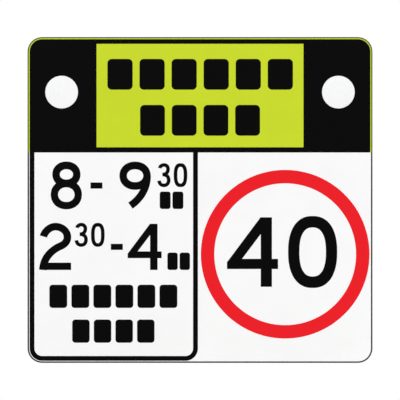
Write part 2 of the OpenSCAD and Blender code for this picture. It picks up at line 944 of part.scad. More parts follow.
module board_screws() {
    color("silver") at_box() at_box_corners(board_screw_x, board_screw_z) {
        bar(board_y - 5, board_y + board_t, m3 / 2);
        bar(board_y + board_t, board_y + board_t + 1.8, m3 - 0.2);
    }
}

module box_grommets() {
    color([0.1, 0.1, 0.1]) at_box() box_entries() grommet(box_wall);
}

// Supply gland, which hangs from the bottom wall of the box: z = 0 is the wall's outer face

module gland_hexagon(from, h, af) {
    translate([0, 0, from]) cylinder(h = h, r = af / sqrt(3), $fn = 6);
}

module gland_body() {
    color([0.13, 0.13, 0.13]) at_box() gland_entry() difference() {
        union() {
            gland_hexagon(-gland_hex_h, gland_hex_h, gland_d + 6);
            translate([0, 0, -gland_thread_l]) cylinder(h = gland_thread_l, r = gland_d / 2);
            cylinder(h = box_wall + gland_inside_l, r = gland_d / 2);
        }
        translate([0, 0, over - gland_hex_h]) {
            cylinder(h = box_wall + gland_inside_l + gland_hex_h, r = gland_bore / 2 + 1);
        }
        gland_seal_seat();
    }
}

module gland_seal_seat() {
    translate([0, 0, -gland_thread_l - over]) {
        cylinder(h = gland_seal_l, r = gland_bore / 2 + gland_seal_wall);
    }
}

module gland_locknut() {
    color([0.13, 0.13, 0.13]) at_box() gland_entry() difference() {
        gland_hexagon(box_wall, gland_locknut_h, gland_d + 5);
        translate([0, 0, box_wall - over]) cylinder(h = gland_locknut_h + 2 * over, r = gland_d / 2);
    }
}

module gland_seal() {
    color([0.3, 0.3, 0.3]) at_box() gland_entry() difference() {
        gland_seal_seat();
        translate([0, 0, -gland_drop]) cylinder(h = gland_drop, r = gland_bore / 2);
    }
}

module gland_dome_nut() {
    nut_r = gland_d / 2 + gland_nut_wall;
    color([0.13, 0.13, 0.13]) at_box() gland_entry() difference() {
        rotate_extrude() polygon([
            [0, -gland_nut_top], [nut_r, -gland_nut_top], [nut_r, gland_shoulder_h - gland_drop],
            [nut_r - 3.5, 1 - gland_drop], [nut_r - 5.5, -gland_drop], [0, -gland_drop]
        ]);
        translate([0, 0, -gland_thread_l - over]) cylinder(h = gland_thread_l, r = gland_d / 2);
        translate([0, 0, -gland_drop - over]) cylinder(h = gland_drop, r = gland_bore / 2);
    }
}

module box_studs() {
    color("gainsboro") at_box() at_box_corners(ear_screw_x, ear_z) bar(0, ear_t + stud_reach, m6 / 2);
}

module box_washers() {
    color("silver") at_box() at_box_corners(ear_screw_x, ear_z) {
        washer(ear_t, box_washer_t, m6, m6 / 2 + fit / 2);
    }
}

module box_nuts() {
    color("silver") at_box() at_box_corners(ear_screw_x, ear_z) {
        lock_nut(ear_t + box_washer_t, m6, box_nut_af, m6 / 2);
    }
}

sign_panel();
lime_sheeting();
white_sheeting();
header_overlay();
timing_border();
speed_ring();
rail(rail_z);  // upper_rail
rail(-rail_z);  // lower_rail
rail_rivets();
saddle(rail_z);  // upper_saddle
saddle(-rail_z);  // lower_saddle
strap(rail_z);  // upper_strap
strap(-rail_z);  // lower_strap
clamp_bolts();
clamp_washers();
clamp_nuts();
lamp_seal(-1);  // left_lamp_seal
lamp_seal(1);  // right_lamp_seal
lens(-1);  // left_lens
lens(1);  // right_lens
reflector(-1);  // left_reflector
reflector(1);  // right_reflector
leds(-1);  // left_leds
leds(1);  // right_leds
led_board(-1);  // left_led_board
led_board(1);  // right_led_board
led_board_screws();
lamp_housing(-1);  // left_lamp_housing
lamp_housing(1);  // right_lamp_housing
lamp_grommets();
lamp_studs();
lamp_washers();
lamp_nuts();
box_base();
box_seal();
box_lid();
lid_screws();
control_board();
board_components();
board_screws();
box_grommets();
gland_body();
gland_locknut();
gland_seal();
gland_dome_nut();
box_studs();
box_washers();
box_nuts();
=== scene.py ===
"""Looks of a school zone speed sign with flashing lamps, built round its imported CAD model.

Lengths are metres in the CAD frame, where x runs to the right as a driver sees the sign, y runs from
the face to the back, and z is up. The film of the legend is laid out in millimetres.
"""

import json
import math
from types import SimpleNamespace

import bmesh
import bpy
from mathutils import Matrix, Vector
from mathutils.geometry import delaunay_2d_cdt

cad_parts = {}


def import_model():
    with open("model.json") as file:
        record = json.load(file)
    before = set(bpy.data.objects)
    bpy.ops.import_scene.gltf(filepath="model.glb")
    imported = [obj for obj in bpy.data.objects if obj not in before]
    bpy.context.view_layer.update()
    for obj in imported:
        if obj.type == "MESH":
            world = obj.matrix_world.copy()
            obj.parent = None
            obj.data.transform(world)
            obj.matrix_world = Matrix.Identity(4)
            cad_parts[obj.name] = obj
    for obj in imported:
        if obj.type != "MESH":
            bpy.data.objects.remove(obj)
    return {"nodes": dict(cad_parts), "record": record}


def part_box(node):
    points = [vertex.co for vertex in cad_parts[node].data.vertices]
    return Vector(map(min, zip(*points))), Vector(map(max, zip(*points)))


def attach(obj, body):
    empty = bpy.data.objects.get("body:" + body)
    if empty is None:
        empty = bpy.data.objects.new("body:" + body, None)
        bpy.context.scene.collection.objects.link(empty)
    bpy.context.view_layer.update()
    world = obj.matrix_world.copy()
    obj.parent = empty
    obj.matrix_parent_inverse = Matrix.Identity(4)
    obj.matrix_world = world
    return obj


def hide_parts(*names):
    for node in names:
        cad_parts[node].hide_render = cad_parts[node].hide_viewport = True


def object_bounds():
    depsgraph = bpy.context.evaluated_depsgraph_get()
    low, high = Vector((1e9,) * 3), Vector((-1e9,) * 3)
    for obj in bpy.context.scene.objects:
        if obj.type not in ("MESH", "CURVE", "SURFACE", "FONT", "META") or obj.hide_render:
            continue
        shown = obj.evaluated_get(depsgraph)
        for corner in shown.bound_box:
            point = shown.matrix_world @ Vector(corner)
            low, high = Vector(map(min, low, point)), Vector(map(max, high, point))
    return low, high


MM = 0.001

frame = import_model()
cad_low, cad_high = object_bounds()
nodes = frame["nodes"]


# Places, read from the frame, whose origin is on the post's axis behind the middle of the panel

PANEL_HALF_WIDTH, PANEL_BACK, PANEL_HALF_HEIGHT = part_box("sign_panel")[1]
SHEETING_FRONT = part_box("white_sheeting")[0][1]
overlay_low, overlay_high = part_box("header_overlay")
FACE_FRONT = overlay_low[1]
FILM_THICKNESS = overlay_high[1] - overlay_low[1]
ring_low, ring_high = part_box("speed_ring")
RING_X = (ring_low[0] + ring_high[0]) / 2
RING_Z = (ring_low[2] + ring_high[2]) / 2


# Sizes of the source that the frame doesn't give

PANEL_CORNER = 38 * MM
FRESNEL_PITCH = 4.22 * MM
CLAMP_HEAD_HEIGHT = 6.4 * MM

# The flats are those of the head or the nut, and the pitch is the usual coarse one
CLAMP_BOLT = SimpleNamespace(diameter=10 * MM, across_flats=17 * MM, pitch=1.5 * MM)
LAMP_STUD = SimpleNamespace(diameter=5 * MM, across_flats=8 * MM, pitch=0.8 * MM)
BOX_STUD = SimpleNamespace(diameter=6 * MM, across_flats=10 * MM, pitch=1.0 * MM)


# Colours, as linear values

def srgb(red, green, blue):
    """A linear colour from 0 to 255 screen values."""
    out = []
    for value in (red, green, blue):
        share = value / 255
        out.append(share / 12.92 if share <= 0.04045 else ((share + 0.055) / 1.055) ** 2.4)
    return (*out, 1.0)


def tint(colour, factor):
    """The same colour, lighter or darker."""
    return (*(min(1.0, channel * factor) for channel in colour[:3]), 1.0)


LIME = srgb(202, 220, 30)
RED = srgb(233, 20, 31)
WHITE = srgb(251, 251, 251)
BLACK = srgb(2, 2, 2)
EDGE_SEAL = srgb(6, 6, 6)


# Node helpers

class Look:
    """A procedural material: its node tree, its shader and the frame's coordinates."""

    # The colour mix is reached by number, because its other kinds have sockets of the same names
    MIX_FIRST, MIX_SECOND, MIX_RESULT = 6, 7, 2

    def __init__(self, name):
        self.material = bpy.data.materials.new(name)
        self.material.use_nodes = True
        self.tree = self.material.node_tree
        self.shader = self.tree.nodes["Principled BSDF"]
        self.place = self.node("ShaderNodeTexCoord").outputs["Object"]

    def node(self, kind, **settings):
        made = self.tree.nodes.new(kind)
        for name, value in settings.items():
            setattr(made, name, value)
        return made

    def link(self, output, socket):
        self.tree.links.new(output, socket)

    def feed(self, value, socket):
        """Links another node's output to a socket, or sets the socket to a plain value."""
        if isinstance(value, bpy.types.NodeSocket):
            self.link(value, socket)
        else:
            socket.default_value = value

    def set(self, **values):
        """Sets sockets of the shader: underscores stand for spaces."""
        for name, value in values.items():
            self.shader.inputs[name.replace("_", " ")].default_value = value
        return self

    def stretched(self, scale, turn=(0, 0, 0)):
        """The frame's coordinates, turned and then scaled along each axis."""
        mapping = self.node("ShaderNodeMapping")
        mapping.inputs["Rotation"].default_value = turn
        mapping.inputs["Scale"].default_value = scale
        self.link(self.place, mapping.inputs["Vector"])
        return mapping.outputs["Vector"]

    def noise(self, scale, detail, roughness=0.5, place=None):
        made = self.node("ShaderNodeTexNoise")
        made.inputs["Scale"].default_value = scale
        made.inputs["Detail"].default_value = detail
        made.inputs["Roughness"].default_value = roughness
        self.link(place or self.place, made.inputs["Vector"])
        return made.outputs["Fac"]

    def cells(self, scale, output="Distance", place=None):
        made = self.node("ShaderNodeTexVoronoi", feature="F1")
        made.inputs["Scale"].default_value = scale
        self.link(place or self.place, made.inputs["Vector"])
        return made.outputs[output]

    def math(self, operation, first, second=None):
        made = self.node("ShaderNodeMath", operation=operation)
        self.feed(first, made.inputs[0])
        if second is not None:
            self.feed(second, made.inputs[1])
        return made.outputs[0]

    def axis(self, name, place=None):
        """One coordinate of a place, which is the frame's own unless another is given."""
        made = self.node("ShaderNodeSeparateXYZ")
        self.link(place or self.place, made.inputs["Vector"])
        return made.outputs[name]

    def root_of_squares(self, first, second):
        squares = [self.math("MULTIPLY", value, value) for value in (first, second)]
        return self.math("SQRT", self.math("ADD", *squares))

    def distance_from_axes(self, across, up):
        """Distance from the nearer of two axes along y, at x = across and x = -across, z = up."""
        x = self.math("SUBTRACT", self.math("ABSOLUTE", self.axis("X")), across)
        z = self.math("SUBTRACT", self.axis("Z"), up)
        return self.root_of_squares(x, z)

    def near_panel_edge(self, width):
        """1 within a width of the panel's rounded edge, else 0."""
        past = []
        for name, half in (("X", PANEL_HALF_WIDTH), ("Z", PANEL_HALF_HEIGHT)):
            away = self.math("SUBTRACT", self.math("ABSOLUTE", self.axis(name)), half - PANEL_CORNER)
            past.append(self.math("MAXIMUM", away, 0.0))
        return self.math("GREATER_THAN", self.root_of_squares(*past), PANEL_CORNER - width)

    def span(self, value, low, high, to_low=0.0, to_high=1.0):
        """Carries the range from low to high over to another one, and stays within that."""
        made = self.node("ShaderNodeMapRange")
        ends = (("From Min", low), ("From Max", high), ("To Min", to_low), ("To Max", to_high))
        for name, number in ends:
            made.inputs[name].default_value = number
        self.link(value, made.inputs["Value"])
        return made.outputs["Result"]

    def spread(self, noise, to_low=0.0, to_high=1.0):
        """Carries the range that a noise mostly fills over to another one."""
        return self.span(noise, 0.3, 0.7, to_low, to_high)

    def mix(self, share, first, second):
        """A colour between two, each a colour or another node's output."""
        made = self.node("ShaderNodeMix", data_type="RGBA")
        self.link(share, made.inputs["Factor"])
        self.feed(first, made.inputs[self.MIX_FIRST])
        self.feed(second, made.inputs[self.MIX_SECOND])
        return made.outputs[self.MIX_RESULT]

    def colour(self, value):
        self.link(value, self.shader.inputs["Base Color"])

    def rough(self, value):
        self.link(value, self.shader.inputs["Roughness"])

    def bump(self, height, distance, strength):
        """Raises the surface by up to the distance, in metres."""
        made = self.node("ShaderNodeBump")
        made.inputs["Distance"].default_value = distance
        made.inputs["Strength"].default_value = strength
        self.link(height, made.inputs["Height"])
        self.link(made.outputs["Normal"], self.shader.inputs["Normal"])


# Materials

def prism_film(name, colour, darker, seal_width=None):
    """Retroreflective sheeting: fine diamond cells under a clear gloss face, its edge perhaps sealed."""
    cell = 4.2 * MM
    slant = math.radians(58)
    line_share, line_strength, cloud_strength = 0.09, 0.65, 0.35
    look = Look(name).set(
        Roughness=0.32, Specular_IOR_Level=0.22, Coat_Weight=0.1, Coat_Roughness=0.08,
    )
    lines = []
    for turn in (slant, -slant):
        run = look.axis("X", look.stretched((1, 1, 1), turn=(0, turn, 0)))
        phase = look.math("FRACT", look.math("DIVIDE", run, cell))
        lines.append(look.math("LESS_THAN", phase, line_share))
    line = look.math("MAXIMUM", *lines)
    cloud = look.span(look.noise(scale=9.0, detail=2.0), 0.35, 0.65, to_high=cloud_strength)
    share = look.math("ADD", look.math("MULTIPLY", line, line_strength), cloud)
    shade = look.mix(share, colour, tint(colour, darker))
    if seal_width:
        shade = look.mix(look.near_panel_edge(seal_width), shade, EDGE_SEAL)
    look.colour(shade)
    look.bump(line, distance=0.03 * MM, strength=0.25)
    return look.material


def overlay_film(name, colour, smooth, dull, specular):
    """Cut film laid over the sheeting: even colour, faint orange-peel in its gloss."""
    look = Look(name).set(Specular_IOR_Level=specular)
    grain = look.noise(scale=260.0, detail=2.0)
    wear = look.noise(scale=14.0, detail=3.0)
    look.rough(look.spread(wear, smooth, dull))
    look.colour(look.mix(look.spread(grain), colour, tint(colour, 1.06)))
    look.bump(grain, distance=0.02 * MM, strength=0.2)
    return look.material


def sheet_metal():
    """Mill-finish panel: rolling lines along x, cloudy oxide, and a dark sealed rim round the face."""
    bare_back = 0.25 * MM
    scuff_turn = math.radians(34)
    look = Look("sheet_aluminium").set(Metallic=1.0)
    rolled = look.noise(scale=1.0, detail=4.0, roughness=0.6, place=look.stretched((6, 60, 900)))
    cloud = look.noise(scale=5.0, detail=4.0)
    scratched = look.stretched((12, 60, 420), turn=(0, scuff_turn, 0))
    scuffs = look.noise(scale=1.0, detail=2.0, place=scratched)
    bare = look.mix(rolled, srgb(146, 150, 154), srgb(180, 183, 186))
    bare = look.mix(look.span(cloud, 0.35, 0.75, to_high=0.55), bare, srgb(132, 136, 141))
    rim = look.math("LESS_THAN", look.axis("Y"), PANEL_BACK - bare_back)
    look.colour(look.mix(rim, bare, EDGE_SEAL))
    look.link(look.math("SUBTRACT", 1.0, rim), look.shader.inputs["Metallic"])
    look.rough(look.span(look.math("ADD", rolled, scuffs), 0.7, 1.3, to_low=0.34, to_high=0.5))
    look.bump(rolled, distance=0.02 * MM, strength=0.3)
    return look.material


def extruded_metal():
    """Extruded rail: die lines along x, and stains."""
    look = Look("extruded_aluminium").set(Metallic=1.0)
    lines = look.noise(scale=1.0, detail=5.0, roughness=0.65, place=look.stretched((3, 1500, 1500)))
    stain = look.noise(scale=26.0, detail=4.0)
    bright = look.mix(lines, srgb(168, 171, 174), srgb(212, 214, 216))
    look.colour(look.mix(look.span(stain, 0.45, 0.8, to_high=0.5), bright, srgb(150, 153, 157)))
    look.rough(look.spread(lines, 0.28, 0.44))
    look.bump(lines, distance=0.05 * MM, strength=0.35)
    return look.material


def galvanised_metal():
    """Hot-dip zinc: large grey spangles and a slightly lumpy coat."""
    look = Look("galvanised_steel").set(Metallic=0.85)
    spangle = look.axis("X", look.cells(scale=170.0, output="Color"))
    fine = look.noise(scale=420.0, detail=3.0)
    tone = look.mix(spangle, srgb(126, 132, 137), srgb(168, 173, 177))
    look.colour(look.mix(look.span(fine, 0.4, 0.75, to_high=0.4), tone, srgb(184, 187, 189)))
    look.rough(look.span(spangle, 0.0, 1.0, to_low=0.42, to_high=0.6))
    look.bump(look.noise(scale=95.0, detail=3.0), distance=0.12 * MM, strength=0.35)
    return look.material


def plated_metal(name, dark, bright, smooth, dull):
    """Small plated or stainless fasteners, mottled between two tones and two roughnesses."""
    look = Look(name).set(Metallic=1.0)
    mottle = look.noise(scale=600.0, detail=3.0)
    wear = look.noise(scale=90.0, detail=2.0)
    look.colour(look.mix(look.spread(mottle), dark, bright))
    look.rough(look.spread(wear, smooth, dull))
    look.bump(mottle, distance=0.02 * MM, strength=0.2)
    return look.material


def rubber():
    """Matt black rubber with a little dust."""
    look = Look("black_rubber").set(Specular_IOR_Level=0.3)
    dust = look.noise(scale=55.0, detail=4.0)
    look.colour(look.mix(look.span(dust, 0.4, 0.75), srgb(28, 28, 29), srgb(52, 52, 53)))
    look.rough(look.spread(dust, 0.72, 0.88))
    look.bump(look.noise(scale=900.0, detail=2.0), distance=0.04 * MM, strength=0.35)
    return look.material


def moulded_plastic(name, colour, lighter, smooth, dull, grain):
    """Injection-moulded plastic: spark-eroded grain, faint flow marks."""
    look = Look(name).set(Specular_IOR_Level=0.4)
    flow = look.noise(scale=12.0, detail=3.0)
    texture = look.noise(scale=grain, detail=2.0, roughness=0.6)
    look.colour(look.mix(look.span(flow, 0.3, 0.75), colour, lighter))
    look.rough(look.spread(texture, smooth, dull))
    look.bump(texture, distance=0.05 * MM, strength=0.4)
    return look.material


def frosted_lens():
    """White polycarbonate, whose Fresnel rings show through faintly: the bump raises them, and a darker
    colour on part of each ring is painted shade.
    """
    look = Look("frosted_lens").set(
        IOR=1.58, Transmission_Weight=0.04, Specular_IOR_Level=0.35, Coat_Weight=0.25, Coat_Roughness=0.05,
    )
    low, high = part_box("right_lens")
    radius = look.distance_from_axes((low[0] + high[0]) / 2, (low[2] + high[2]) / 2)
    ring = look.math("FRACT", look.math("DIVIDE", radius, FRESNEL_PITCH))
    # Painted shade: the colour darkens over the outer part of each ring's pitch, where the shade of its
    # groove would fall.
    painted_groove_shade = look.span(ring, 0.72, 0.96)
    milk = look.noise(scale=40.0, detail=2.0)
    cloudy = look.mix(look.spread(milk), srgb(255, 255, 255), srgb(252, 252, 253))
    look.colour(look.mix(painted_groove_shade, cloudy, srgb(238, 240, 242)))
    look.rough(look.spread(milk, 0.22, 0.3))
    look.bump(ring, distance=0.2 * MM, strength=0.35)
    return look.material


def clear_resin():
    """The warm clear resin of the light-emitting diodes."""
    look = Look("led_resin").set(IOR=1.5, Transmission_Weight=0.5, Coat_Weight=0.5)
    core = look.noise(scale=700.0, detail=1.0)
    look.colour(look.mix(core, srgb(250, 240, 215), srgb(255, 226, 160)))
    look.rough(look.spread(core, 0.1, 0.2))
    return look.material


def circuit_board(name, colour, track):
    """Solder mask, with tracks that show through it as a slightly different tone."""
    track_share = 0.28
    look = Look(name).set(Specular_IOR_Level=0.5)
    grid = look.cells(scale=230.0, place=look.stretched((1, 1, 2.2)))
    traces = look.math("LESS_THAN", grid, track_share)
    wear = look.noise(scale=60.0, detail=2.0)
    look.colour(look.mix(traces, colour, track))
    look.rough(look.spread(wear, 0.28, 0.38))
    look.bump(traces, distance=0.03 * MM, strength=0.4)
    return look.material


# How far in from the panel's edge the dark seal covers the white film
SEAL_WIDTH = 4 * MM

LOOKS = {
    "sheet_aluminium": sheet_metal(),
    "lime_film": prism_film("lime_film", LIME, darker=0.9),
    "white_film": prism_film("white_film", WHITE, darker=0.95, seal_width=SEAL_WIDTH),
    "black_film": overlay_film("black_film", BLACK, smooth=0.4, dull=0.48, specular=0.04),
    "red_film": overlay_film("red_film", RED, smooth=0.34, dull=0.42, specular=0.15),
    "extruded_aluminium": extruded_metal(),
    "rivet_aluminium": plated_metal(
        "rivet_aluminium", srgb(158, 161, 164), srgb(192, 194, 196), smooth=0.3, dull=0.42,
    ),
    "galvanised_steel": galvanised_metal(),
    "plated_steel": plated_metal(
        "plated_steel", srgb(138, 141, 144), srgb(182, 184, 182), smooth=0.26, dull=0.42,
    ),
    "stainless_steel": plated_metal(
        "stainless_steel", srgb(142, 142, 141), srgb(186, 185, 183), smooth=0.22, dull=0.36,
    ),
    "black_rubber": rubber(),
    "frosted_lens": frosted_lens(),
    "white_plastic": moulded_plastic(
        "white_plastic", srgb(246, 246, 244), srgb(250, 250, 249), smooth=0.2, dull=0.3, grain=500.0,
    ),
    "led_resin": clear_resin(),
    "white_board": circuit_board("white_board", srgb(238, 238, 234), track=srgb(226, 227, 222)),
    "green_board": circuit_board("green_board", srgb(18, 92, 52), track=srgb(40, 122, 70)),
    "component_plastic": moulded_plastic(
        "component_plastic", srgb(30, 30, 32), srgb(44, 44, 46), smooth=0.5, dull=0.65, grain=900.0,
    ),
    "black_housing": moulded_plastic(
        "black_housing", srgb(30, 30, 32), srgb(42, 42, 44), smooth=0.46, dull=0.62, grain=1400.0,
    ),
    "grey_enclosure": moulded_plastic(
        "grey_enclosure", srgb(196, 200, 200), srgb(204, 208, 207), smooth=0.42, dull=0.56, grain=1200.0,
    ),
    "black_nylon": moulded_plastic(
        "black_nylon", srgb(26, 26, 28), srgb(36, 36, 38), smooth=0.36, dull=0.48, grain=700.0,
    ),
}
SLOT_OF = {part["node"]: part["material_slot"] for part in frame["record"]["subparts"]}


def dress_cad_nodes():
    """Gives each CAD node the look of its material slot."""
    for name, node in nodes.items():
        material = LOOKS[SLOT_OF[name]]
        if not node.data.materials:
            node.data.materials.append(material)
        for index in range(len(node.data.materials)):
            node.data.materials[index] = material


def finished(shape, name, slot):
    """An object made from a bmesh, which rides on the part and takes a material slot's look."""
    mesh = bpy.data.meshes.new(name)
    shape.to_mesh(mesh)
    shape.free()
    made = bpy.data.objects.new(name, mesh)
    bpy.context.collection.objects.link(made)
    mesh.materials.append(LOOKS[slot])
    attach(made, "root")
    return made


# Outlines, as lists of (x, z)

def superellipse(middle, radii, power, count=72):
    """Points round an ellipse whose sides are the fuller the higher the power."""
    points = []
    for step in range(count):
        turn = 2 * math.pi * step / count
        across, up = math.cos(turn), math.sin(turn)
        points.append((
            middle[0] + radii[0] * math.copysign(abs(across) ** (2 / power), across),
            middle[1] + radii[1] * math.copysign(abs(up) ** (2 / power), up),
        ))
    return points


def bezier(path, steps=14):
    """Points along joined cubic curves: a start, then two handles and an end for each."""
    points = [Vector(path[0])]
    for start in range(0, len(path) - 1, 3):
        a, b, c, d = (Vector(p) for p in path[start:start + 4])
        for step in range(1, steps + 1):
            t = step / steps
            s = 1 - t
            points.append(a * s ** 3 + b * 3 * s * s * t + c * 3 * s * t * t + d * t ** 3)
    return points


def stroke(points, width):
    """The outline of a pen of the given width drawn along the points."""
    left, right = [], []
    last = len(points) - 1
    for index, point in enumerate(points):
        along = (points[min(index + 1, last)] - points[max(index - 1, 0)]).normalized()
        side = Vector((-along.y, along.x)) * width / 2
        left.append(tuple(point + side))
        right.append(tuple(point - side))
    return left + right[::-1]


def box_outline(x0, z0, x1, z1):
    return [(x0, z0), (x1, z0), (x1, z1), (x0, z1)]


def rounded_outline(x0, z0, x1, z1, radius, steps=8):
    """A rectangle with round corners, from its lower right one on."""
    points = []
    for cx, cz, start in (
        (x1 - radius, z0 + radius, -90), (x1 - radius, z1 - radius, 0),
        (x0 + radius, z1 - radius, 90), (x0 + radius, z0 + radius, 180),
    ):
        for step in range(steps + 1):
            turn = math.radians(start + 90 * step / steps)
            points.append((cx + radius * math.cos(turn), cz + radius * math.sin(turn)))
    return points


def winds_left(line):
    """True if the outline runs anticlockwise, as the triangulation needs."""
    return sum(a[0] * b[1] - b[0] * a[1] for a, b in zip(line, line[1:] + line[:1])) > 0


# Cut film

class Film:
    """Outlines that are cut from one black film and laid on the sheeting, in millimetres."""

    # Settings of the triangulation and of the merging of flat faces
    FILL_OUTLINES = 1
    SAME_POINT = 1e-5
    FLAT_ANGLE = 0.001

    def __init__(self):
        self.shapes = []

    def add(self, filled, holes=(), at=(0, 0), scale=1.0):
        """Takes in a shape: its outlines and holes, scaled and then moved to a place."""
        def placed(outlines):
            moved = [[(at[0] + x * scale, at[1] + z * scale) for x, z in line] for line in outlines]
            return [line if winds_left(line) else line[::-1] for line in moved]
        self.shapes.append((placed(filled), placed(holes)))

    def faces(self):
        """The triangles of every shape: what its filled outlines cover and its holes don't."""
        for filled, holes in self.shapes:
            points, loops = [], []
            for line in filled + holes:
                loops.append(list(range(len(points), len(points) + len(line))))
                points.extend(Vector(p) for p in line)
            found, _, triangles, _, _, sources = delaunay_2d_cdt(
                points, [], loops, self.FILL_OUTLINES, self.SAME_POINT,
            )
            kept = [
                face for face, source in zip(triangles, sources)
                if source and not any(s >= len(filled) for s in source)
            ]
            yield found, kept

    def build(self, name):
        """All the shapes as one piece, as thick as the film of the header."""
        shape = bmesh.new()
        for points, triangles in self.faces():
            corners = [shape.verts.new((p.x * MM, SHEETING_FRONT, p.y * MM)) for p in points]
            for triangle in triangles:
                shape.faces.new([corners[i] for i in triangle])
        bmesh.ops.delete(shape, geom=[v for v in shape.verts if not v.link_faces], context="VERTS")
        bmesh.ops.dissolve_limit(
            shape, angle_limit=self.FLAT_ANGLE, verts=shape.verts[:], edges=shape.edges[:],
        )
        bmesh.ops.triangulate(shape, faces=shape.faces[:])
        raised = bmesh.ops.extrude_face_region(shape, geom=shape.faces[:])
        moved = [item for item in raised["geom"] if isinstance(item, bmesh.types.BMVert)]
        bmesh.ops.translate(shape, verts=moved, vec=(0, -FILM_THICKNESS, 0))
        bmesh.ops.recalc_face_normals(shape, faces=shape.faces[:])
        return finished(shape, name, "black_film")


# Numerals, drawn on a height of 1 from their lower left corner: filled outlines, then holes

# Widths of the strokes of the large numerals and of the small ones
PEN = 0.163
SMALL_PEN = 0.155

# Power of the superellipses of the 8 and the 9
BOWL_POWER = 2.1


def four():
    stem_left, stem_right = 0.486, 0.647
    bar_low, bar_high, bar_right = 0.256, 0.402, 0.735
    slope_foot, slope_top = 0.354, 0.4825
    window_left, window_top = 0.217, 0.759
    outline = [
        (0, bar_low), (stem_left, bar_low), (stem_left, 0), (stem_right, 0), (stem_right, bar_low),
        (bar_right, bar_low), (bar_right, bar_high), (stem_right, bar_high), (stem_right, 1),
        (slope_top, 1), (0, slope_foot),
    ]
    window = [(window_left, bar_high), (stem_left, bar_high), (stem_left, window_top)]
    return [outline], [window]


def wide_zero():
    middle = (0.3525, 0.501)
    outer = superellipse(middle, radii=(0.3535, 0.518), power=2.33)
    inner = superellipse(middle, radii=(0.191, 0.353), power=2.42)
    return [outer], [inner]


def narrow_zero():
    middle = (0.289, 0.5)
    outer = superellipse(middle, radii=(0.292, 0.514), power=2.6)
    inner = superellipse(middle, radii=(0.136, 0.358), power=2.7)
    return [outer], [inner]


def eight():
    upper, lower = (0.340, 0.737), (0.338, 0.299)
    filled = [
        superellipse(upper, (0.305, 0.280), BOWL_POWER), superellipse(lower, (0.338, 0.319), BOWL_POWER),
    ]
    holes = [
        superellipse(upper, (0.143, 0.111), BOWL_POWER), superellipse(lower, (0.178, 0.158), BOWL_POWER),
    ]
    return filled, holes


def nine():
    middle = (0.339, 0.709)
    bowl = superellipse(middle, (0.339, 0.306), BOWL_POWER)
    inside = superellipse(middle, (0.177, 0.139), BOWL_POWER)
    tail = bezier([(0.6005, 0.709), (0.6005, 0.404), (0.422, 0.184), (0.238, 0.061)])
    return [bowl, stroke(tail, PEN)], [inside]


def two():
    neck = bezier([
        (0.090, 0.724), (0.113, 0.821), (0.224, 0.939), (0.349, 0.939),
        (0.493, 0.939), (0.611, 0.837), (0.611, 0.709),
        (0.611, 0.612), (0.535, 0.548), (0.463, 0.518),
        (0.318, 0.458), (0.093, 0.299), (0.077, 0.0),
    ])
    foot = box_outline(0.02, 0, 0.69, 0.158)
    return [stroke(neck, PEN), foot], []


def three():
    upper = bezier([
        (0.093, 0.802), (0.110, 0.885), (0.187, 0.940), (0.275, 0.940),
        (0.385, 0.940), (0.451, 0.868), (0.451, 0.764),
        (0.451, 0.632), (0.374, 0.527), (0.209, 0.527),
    ])
    lower = bezier([
        (0.209, 0.527), (0.401, 0.527), (0.478, 0.423), (0.478, 0.291),
        (0.478, 0.148), (0.396, 0.060), (0.275, 0.060),
        (0.154, 0.060), (0.077, 0.137), (0.066, 0.264),
    ])
    return [stroke(upper, SMALL_PEN), stroke(lower, SMALL_PEN)], []


# Legend, in millimetres from the middle of the panel

SPEED_HEIGHT = 181.2
HOUR_HEIGHT = 120.4
HALF_HOUR_HEIGHT = 60.6
HALF_HOUR_SPACING = 42.3
DASH_WIDTH, DASH_HEIGHT = 31.2, 15.9


def below_top(drop):
    """The z of a level that is given as its drop below the panel's top edge."""
    return PANEL_HALF_HEIGHT / MM - drop


def add_numeral(film, numeral, x, z, height):
    filled, holes = numeral()
    film.add(filled, holes, at=(x, z), scale=height)


def add_half_hour(film, x, z):
    """The raised 30 after an hour."""
    add_numeral(film, three, x, z, HALF_HOUR_HEIGHT)
    add_numeral(film, narrow_zero, x + HALF_HOUR_SPACING, z, HALF_HOUR_HEIGHT)


def add_dash(film, x, z):
    film.add([box_outline(x, z, x + DASH_WIDTH, z + DASH_HEIGHT)])


def speed_numerals():
    """The speed limit, whose place is given from the middle of its ring."""
    four_left, zero_left, foot = -151.85, 7.75, -84.9
    film = Film()
    x, z = RING_X / MM, RING_Z / MM + foot
    add_numeral(film, four, x + four_left, z, SPEED_HEIGHT)
    add_numeral(film, wide_zero, x + zero_left, z, SPEED_HEIGHT)
    return film.build("speed_numerals")


def morning_hours():
    film = Film()
    foot = below_top(447.0)
    add_numeral(film, eight, x=-389.5, z=foot, height=HOUR_HEIGHT)
    add_dash(film, x=-285.8, z=below_top(395.2))
    add_numeral(film, nine, x=-210.2, z=foot, height=HOUR_HEIGHT)
    add_half_hour(film, x=-110.7, z=below_top(390.5))
    return film.build("morning_hours")


def afternoon_hours():
    film = Film()
    foot = below_top(607.5)
    add_numeral(film, two, x=-419.4, z=foot, height=HOUR_HEIGHT)
    add_half_hour(film, x=-326.4, z=below_top(546.2))
    add_dash(film, x=-232.6, z=below_top(555.2))
    add_numeral(film, four, x=-188.7, z=foot, height=HOUR_HEIGHT)
    return film.build("afternoon_hours")


# Plain blocks in the places of the words, one for each letter

HEADER_WORD = SimpleNamespace(height=80.2, gap=18.0)
DAY_WORD = SimpleNamespace(height=60.5, gap=11.0)
HALF_DAY_WORD = SimpleNamespace(height=45.3, gap=5.0)
BLOCK_CORNER = 0.14


def add_blocks(film, word, left, right, drop, count):
    """A row of equal blocks, its top at a drop below the panel's top edge."""
    width = (right - left - word.gap * (count - 1)) / count
    upper = below_top(drop)
    lower = upper - word.height
    for index in range(count):
        x = left + index * (width + word.gap)
        film.add([rounded_outline(x, lower, x + width, upper, BLOCK_CORNER * word.height)])


